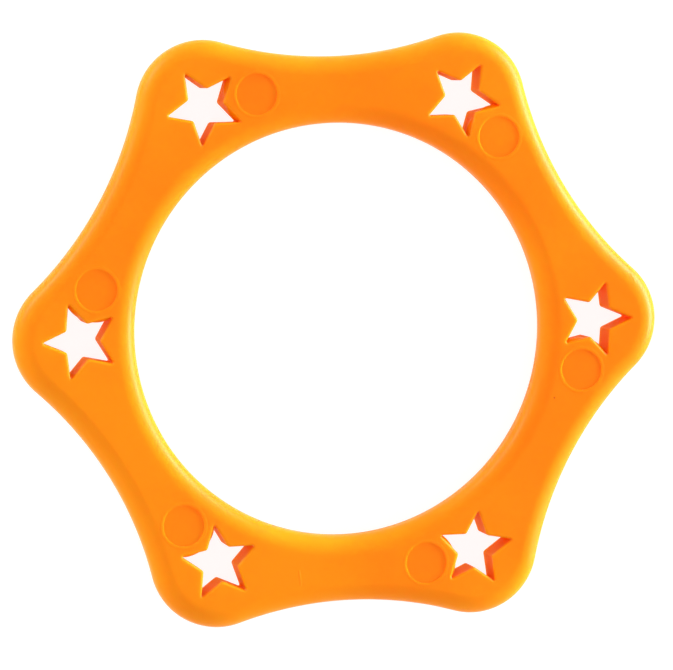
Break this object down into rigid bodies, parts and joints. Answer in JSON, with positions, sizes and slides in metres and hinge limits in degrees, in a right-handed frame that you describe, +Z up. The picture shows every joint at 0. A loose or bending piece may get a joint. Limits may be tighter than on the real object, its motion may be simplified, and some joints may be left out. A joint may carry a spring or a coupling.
{
  "type": "flying ring",
  "caption": "One-piece moulded flying ring with a round centre hole, softly rounded lobes joined by hollow sides, and a star-shaped window through each lobe.",
  "frame": {"origin": "on the axis of the centre hole, in the plane of the underside that the ring lies on", "axes": "+Z up through the centre hole, towards the face with the round ejector marks; +X through the tip of one lobe"},
  "size_m": [0.16, 0.143, 0.01],
  "materials": {
    "ring_plastic": "satin, as moulded, bright orange"
  },
  "bodies": {
    "root": {"ring_body": "ring_plastic"}
  },
  "joints": []
}
